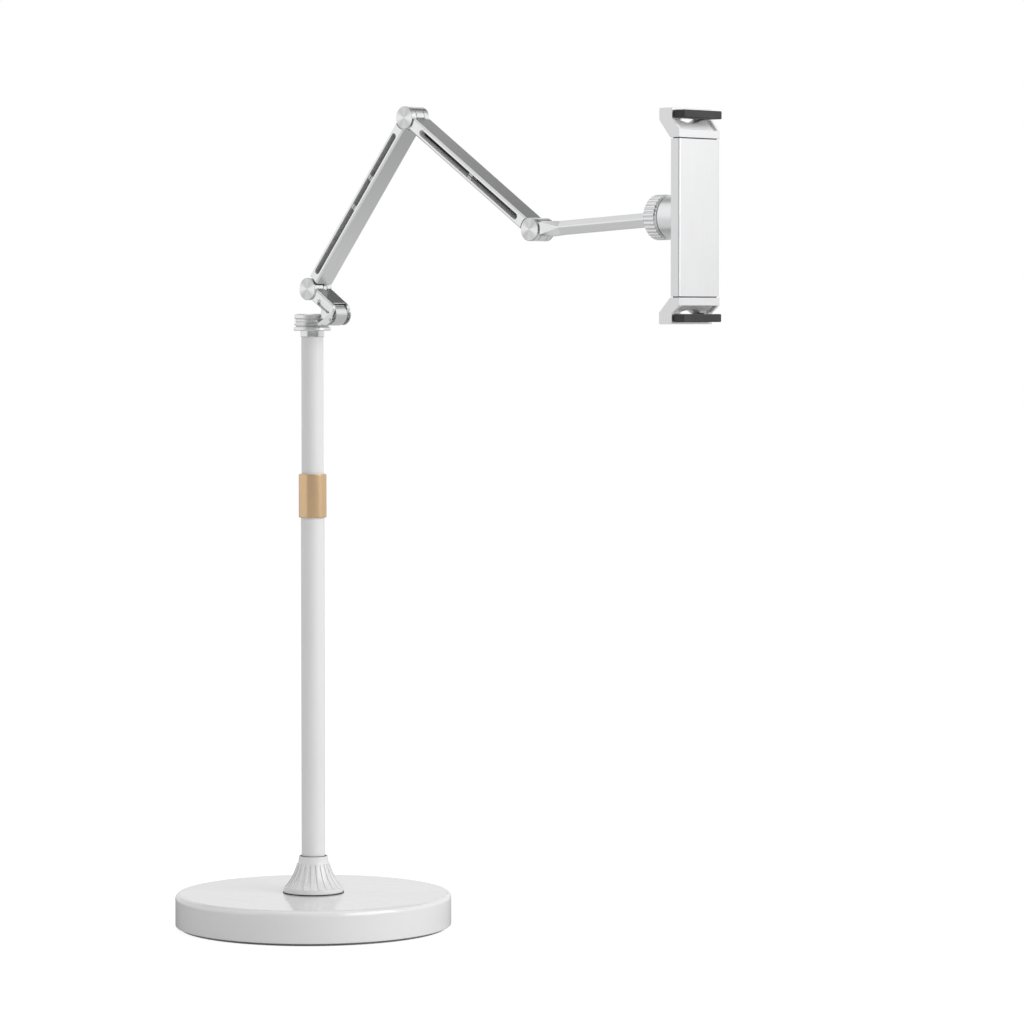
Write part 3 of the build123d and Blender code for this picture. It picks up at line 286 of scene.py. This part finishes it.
def spun(
    name, colour, dark, rough, centre, axis, pitch=2600.0, streak=0.85, groove=0.00003, fans=None, metal=1.0
):
    """Turned metal: fine rings round an axis, whose grain draws the highlight out into two fans.
    A pin's caps also have the fans painted into their colour as a faint shade and reflection round the axis,
    turned by the given angle."""
    g = Finish(name)
    arm = g.vector("SUBTRACT", g.place(), centre).outputs[0]
    run = g.vector("CROSS_PRODUCT", arm, axis).outputs[0]
    tangent = g.vector("NORMALIZE", run).outputs[0]
    radius = g.vector("LENGTH", run).outputs["Value"]
    along = g.vector("DOT_PRODUCT", arm, axis).outputs["Value"]
    rings = g.add("ShaderNodeCombineXYZ")
    g.link(g.math("MULTIPLY", radius, pitch), rings.inputs[0])
    g.link(g.math("MULTIPLY", along, pitch), rings.inputs[1])
    grooves = g.noise(rings.outputs[0], 1.0, 3.0, 0.6)
    edge, normal = g.edges(0.0004)
    body = g.tint(g.ranged(grooves, 0.3, 0.7, 0.0, 1.0), dark, colour)
    # Paler edges: partly wear, partly a painted highlight
    worn_and_highlit = tuple(min(1.0, 1.12 * c) for c in colour)
    if fans is not None:
        # The fans: painted shade and painted reflection round the cap's axis
        axes = g.axes(arm)
        around = g.math("ARCTAN2", axes["Z"], axes["X"])
        wide = g.math("COSINE", g.math("ADD", g.math("MULTIPLY", around, 2.0), fans))
        narrow = g.math("COSINE", g.math("ADD", g.math("MULTIPLY", around, 4.0), fans))
        painted_fans = g.math("ADD", g.math("MULTIPLY", wide, 0.6), g.math("MULTIPLY", narrow, 0.4))
        body = g.tint(g.ranged(painted_fans, -0.7, 0.9, 0.80, 0.0), body, tuple(0.50 * c for c in colour))
    g.set(Base_Color=g.tint(g.math("MULTIPLY", edge, 0.7), body, worn_and_highlit), Metallic=metal)
    g.set(Roughness=g.ranged(grooves, 0.25, 0.75, rough * 0.85, rough * 1.15))
    g.set(Anisotropic=streak, Tangent=tangent)
    g.bump(grooves, 0.08, groove, normal)
    return g.material


def moulded(name, colour, shade, rough, grain=900.0, depth=0.00012, strength=0.25, edge_radius=0.0004):
    """Moulded rubber or plastic: a fine matt grain, dusty patches and paler edges, partly rubbed wear and
    partly a painted highlight.
    """
    g = Finish(name)
    fine = g.noise(g.mapped(), grain, 3.0)
    patches = g.noise(g.mapped(), 45.0, 4.0)
    edge, normal = g.edges(edge_radius)
    body = g.tint(g.ranged(patches, 0.35, 0.7, 0.0, 1.0), colour, shade)
    # Paler edges: partly rubbed wear, partly a painted highlight
    rubbed_and_highlit = tuple(min(1.0, 1.6 * c + 0.02) for c in shade)
    g.set(Base_Color=g.tint(g.math("MULTIPLY", edge, 0.6), body, rubbed_and_highlit))
    g.set(Roughness=g.ranged(fine, 0.3, 0.7, rough * 0.9, rough * 1.08))
    g.bump(fine, strength, depth, normal)
    return g.material


def dress(material, *names):
    for name in names:
        slots = nodes[name].data.materials
        if len(slots) == 0:
            slots.append(material)
        for index in range(len(slots)):
            slots[index] = material


# Painted and moulded white pieces
gloss_white = enamel("gloss_white", (0.90, 0.90, 0.90), (0.875, 0.876, 0.88), 0.16, 0.6, 260.0, 0.0008)
satin_white = enamel("satin_white", (0.88, 0.88, 0.88), (0.855, 0.856, 0.86), 0.38, 0.15, 700.0, 0.0005)
flare_white = enamel("flare_white", (0.88, 0.88, 0.88), (0.86, 0.86, 0.862), 0.26, 0.35, 600.0, 0.0004)
black_paint = enamel("black_paint", (0.03, 0.03, 0.03), (0.022, 0.022, 0.023), 0.4, 0.1, 500.0, 0.0003)
dress(gloss_white, "base_cover")
dress(satin_white, "lower_tube", "upper_tube")
dress(flare_white, "flare_collar")
dress(black_paint, "base_plate")

# Rubber and dark plastic
rubber = moulded("rubber", (0.018, 0.018, 0.02), (0.03, 0.03, 0.032), 0.55)
dark_plastic = moulded("dark_plastic", (0.03, 0.03, 0.031), (0.042, 0.042, 0.044), 0.5, 1200.0)
grey_plastic = moulded("grey_plastic", (0.74, 0.745, 0.75), (0.66, 0.665, 0.67), 0.4, 1300.0)
cast = moulded("cast_weight", (0.045, 0.045, 0.048), (0.07, 0.068, 0.066), 0.7, 420.0, 0.0004, 0.5)
grey_rubber = moulded("grey_rubber", (0.30, 0.30, 0.305), (0.38, 0.38, 0.385), 0.6)
dress(rubber, "flare_gasket", "flare_seal", "upper_jaw_pad", "lower_jaw_pad")
dress(grey_rubber, "floor_pad")
dress(
    dark_plastic,
    "tube_plug", "collet", "tube_slider", "bracket_washers",
    "short_hinge_washers", "elbow_hinge_washers", "wrist_hinge_washers",
    "ball_liner", "ball_seat", "clamp_core",
)
dress(grey_plastic, "lower_arm_clips", "upper_arm_clip")
dress(cast, "base_weight")

# Arms: straight grain along each link
silver = (0.89, 0.893, 0.90)
silver_dark = (0.80, 0.804, 0.812)


def link_metal(name, start, end, channel=None, side=0, share=1.0):
    """A link's metal. Its shaded side is the top (1) or the underside (-1), towards the far end."""
    run = end - start
    turn = math.atan2(run.z, run.x)
    top = None
    if side != 0:
        way = (-side * math.sin(turn), 0.0, side * math.cos(turn))
        top = (way, share, 0.2 * run.length, 0.9 * run.length)
    return brushed(name, silver, silver_dark, 0.24, turn, start, channel=channel, top=top)


lower_length = (elbow_at - short_at).length
upper_length = (wrist_at - elbow_at).length
channel_margin = 0.0192
upper_channel_start = 0.0247
# The channels' painted greys: light at the mouth, painted shade in the depth
lower_channel = (channel_margin, lower_length - channel_margin, 0.60, 0.50)
upper_channel = (upper_channel_start, upper_length - channel_margin, 0.96, 0.05)

# The short link's upper side is shaded all along: both ends of its ramp lie before the link
short_lean = math.radians(146.8)
short_top = ((math.sin(short_lean), 0.0, -math.cos(short_lean)), 0.44, -0.9, -0.8)
short_metal = brushed("short_link_metal", silver, silver_dark, 0.24, short_lean, bracket_at, top=short_top)
dress(short_metal, "short_link")
dress(link_metal("lower_arm_metal", short_at, elbow_at, lower_channel, -1, 0.66), "lower_arm")
dress(link_metal("upper_arm_metal", elbow_at, wrist_at, upper_channel, 1, 0.74), "upper_arm")
dress(link_metal("head_arm_metal", wrist_at, ball_at), "head_arm")
bracket_metal = brushed("bracket_metal", (0.78, 0.784, 0.79), (0.70, 0.704, 0.71), 0.28)
dress(bracket_metal, "swivel_bracket")


def clamp_metal(name, seam=None):
    return brushed(
        name, (0.81, 0.812, 0.818), (0.77, 0.773, 0.78), 0.40,
        along="Z", grain=0.06, edge_radius=0.0006, seam=seam,
    )


housing = nodes["clamp_housing"]
housing_heights = [(housing.matrix_world @ Vector(corner)).z for corner in housing.bound_box]
# The jaws' materials carry painted shade in the seam gap and painted light in the recess
seam_gap = 0.001
upper_seam = max(housing_heights) + seam_gap
lower_seam = min(housing_heights) - seam_gap
dress(clamp_metal("clamp_metal"), "clamp_housing")
dress(clamp_metal("upper_jaw_metal", (upper_seam, -1.0)), "upper_jaw")
dress(clamp_metal("lower_jaw_metal", (lower_seam, 1.0)), "lower_jaw")

# Turned pieces
pole_axis = (0, 0, 1)
pin_axis = (0, 1, 0)
head_axis = (1, 0, 0)
bright = (0.94, 0.943, 0.948)
bright_dark = (0.82, 0.824, 0.83)
polish_groove = 0.000002
pole_discs = spun("pole_discs", bright, bright_dark, 0.32, (0, 0, 0.61), pole_axis, streak=0.4)
cup_metal = spun("cup_metal", silver, silver_dark, 0.32, ball_at, head_axis, streak=0.5)
champagne = spun(
    "champagne", (0.80, 0.56, 0.33), (0.785, 0.55, 0.322), 0.24, (0, 0, 0.41), pole_axis,
    pitch=1700.0, streak=0.0, groove=polish_groove, metal=0.80,
)
polished = spun(
    "polished", (0.78, 0.78, 0.79), (0.76, 0.76, 0.77), 0.10, (0, 0, 0.6), pole_axis,
    pitch=9000.0, streak=0.2, groove=polish_groove,
)
brass = spun("brass", (0.72, 0.55, 0.25), (0.60, 0.44, 0.19), 0.3, (0, 0, 0.43), pole_axis)
dress(pole_discs, "swivel_flange", "swivel_ring", "swivel_bolt")
dress(cup_metal, "ball_cup", "ball_lock_nut")
dress(champagne, "lock_collar")
dress(polished, "upper_ferrule")
dress(brass, "tube_nipple")
for hinge, pin_at, fans in (("short", short_at, 0.2), ("elbow", elbow_at, 0.1), ("wrist", wrist_at, 0.35)):
    caps = spun(hinge + "_caps", bright, bright_dark, 0.22, pin_at, pin_axis, fans=fans)
    dress(caps, hinge + "_hinge_caps")

# Plain steel hardware
steel = brushed("steel", (0.60, 0.605, 0.61), (0.50, 0.505, 0.51), 0.3, along="Z", edge_radius=0.0003)
dress(
    steel,
    "base_screws", "base_washer", "base_bolt", "swivel_washer", "strap_rivets", "bracket_pin",
    "short_hinge_pin", "short_hinge_nut", "elbow_hinge_pin", "elbow_hinge_nut",
    "wrist_hinge_pin", "wrist_hinge_nut", "ball_stud", "cup_screws",
    "upper_jaw_rods", "lower_jaw_rods", "upper_jaw_spring", "lower_jaw_spring",
)

# Floor: pale, and white to the camera, with the shadow kept
bpy.ops.mesh.primitive_circle_add(vertices=96, radius=14.0, fill_type="NGON", location=(0, 0, -0.0004))
floor = bpy.context.object
floor.name = "studio_floor"
g = Finish("studio_floor")
grain = g.noise(g.mapped(), 3.0)
g.set(Base_Color=g.tint(grain, (0.30, 0.30, 0.30), (0.32, 0.32, 0.32)), Roughness=0.9)
g.set(Specular_IOR_Level=0.0)
both = g.add("ShaderNodeAddShader")
g.link(g.glow("ShaderNodeEmission", 0.88), both.inputs[0])
g.link(g.shader.outputs[0], both.inputs[1])
plain = g.add("ShaderNodeBsdfDiffuse")
plain.inputs["Color"].default_value = (0.80, 0.80, 0.80, 1)
across = g.axes(g.place())["Y"]
far_glow = g.ranged(across, -0.15, 0.45, 0.20, 0.60)
near_glow = g.ranged(across, -0.42, -0.28, 0.52, 0.0)
mirror_glow = g.glow("ShaderNodeEmission", g.math("ADD", far_glow, near_glow))
seen, glossy = g.rays()
surface = g.mix(glossy, g.mix(seen, plain.outputs[0], both.outputs[0]), mirror_glow)
g.link(surface, g.tree.nodes["Material Output"].inputs["Surface"])
floor.data.materials.append(g.material)

# World: white to the camera, a softer studio for the light and the reflections
world = bpy.data.worlds.new("studio")
bpy.context.scene.world = world
world.use_nodes = True
world.node_tree.nodes.clear()
sky = Graph(world.node_tree)
direction = sky.add("ShaderNodeTexCoord").outputs["Generated"]


def toward(x, y, z):
    """How nearly a ray runs a way, from one straight along it to minus one straight against it."""
    return sky.vector("DOT_PRODUCT", direction, Vector((x, y, z)).normalized()).outputs["Value"]


def step(value, low, high, to_low=0.0, to_high=1.0):
    return sky.ranged(value, low, high, to_low, to_high, "SMOOTHSTEP")


# What polished and satin metal mirrors: a white wall behind the stand, a large white box on the
# left, a pale ceiling, a dark gap high behind the wall, and grey in between.
height = sky.math("ABSOLUTE", toward(0, 0, 1))
wall = sky.every(
    step(height, 0.52, 0.68, 0.88, 0.0),
    step(toward(0.68, -0.73, 0), 0.15, 0.85, 1.0, 0.0),
)
box = step(toward(-0.72, -0.66, 0.22), 0.54, 0.80, 0.0, 0.98)
ceiling = step(toward(0, 0, 1), 0.80, 0.97)
bright_part = sky.math("MAXIMUM", sky.math("MAXIMUM", wall, box), ceiling)
behind = step(toward(-0.15, 0.80, 0.58), 0.45, 0.85, 0.22, 0.42)
gap = step(toward(-0.12, 0.70, 0.70), 0.965, 0.992, 1.0, 0.22)
studio = sky.every(sky.math("MAXIMUM", behind, bright_part), gap)
lit = sky.glow("ShaderNodeBackground", 0.46)
mirrored = sky.glow("ShaderNodeBackground", studio)
seen_white = sky.glow("ShaderNodeBackground", 1.0)
seen, glossy = sky.rays()
sky_light = sky.mix(seen, sky.mix(glossy, lit, mirrored), seen_white)
sky.link(sky_light, sky.add("ShaderNodeOutputWorld").inputs["Surface"])


def softbox(name, place, aim, width, height, power, mirrored=True):
    data = bpy.data.lights.new(name, "AREA")
    data.shape = "RECTANGLE"
    data.size = width
    data.size_y = height
    data.energy = power
    lamp = bpy.data.objects.new(name, data)
    bpy.context.scene.collection.objects.link(lamp)
    lamp.location = place
    lamp.rotation_mode = "QUATERNION"
    lamp.rotation_quaternion = (Vector(aim) - Vector(place)).to_track_quat("-Z", "Y")
    lamp.visible_glossy = mirrored


middle = (0.15, 0.0, 0.40)
softbox("key", (2.9, 0.5, 1.9), middle, 2.6, 2.6, 62.0)
softbox("left", (-2.3, -1.9, 0.9), middle, 1.8, 2.2, 14.0, False)

# Camera at the photograph's place: far off, at the height of the swivel, tipped a little down
camera_data = bpy.data.cameras.new("camera")
camera = bpy.data.objects.new("camera", camera_data)
bpy.context.scene.collection.objects.link(camera)
bpy.context.scene.camera = camera
sensor_mm = 36.0
picture_pixels = 1024.0
focal_pixels = 4209.5
camera_data.sensor_width = sensor_mm
camera_data.lens = sensor_mm * focal_pixels / picture_pixels
camera_data.clip_end = 60.0
camera.location = (3.048, -2.973, 0.6179)
azimuth = math.radians(43.0)
eye_level_above_middle = 194.0
rounded_focal_pixels = 4200.0
tip = math.atan(eye_level_above_middle / rounded_focal_pixels)
look = Vector((-math.sin(azimuth) * math.cos(tip), math.cos(azimuth) * math.cos(tip), -math.sin(tip)))
camera.rotation_mode = "QUATERNION"
camera.rotation_quaternion = look.to_track_quat("-Z", "Y")

bpy.context.scene.view_settings.view_transform = "Standard"
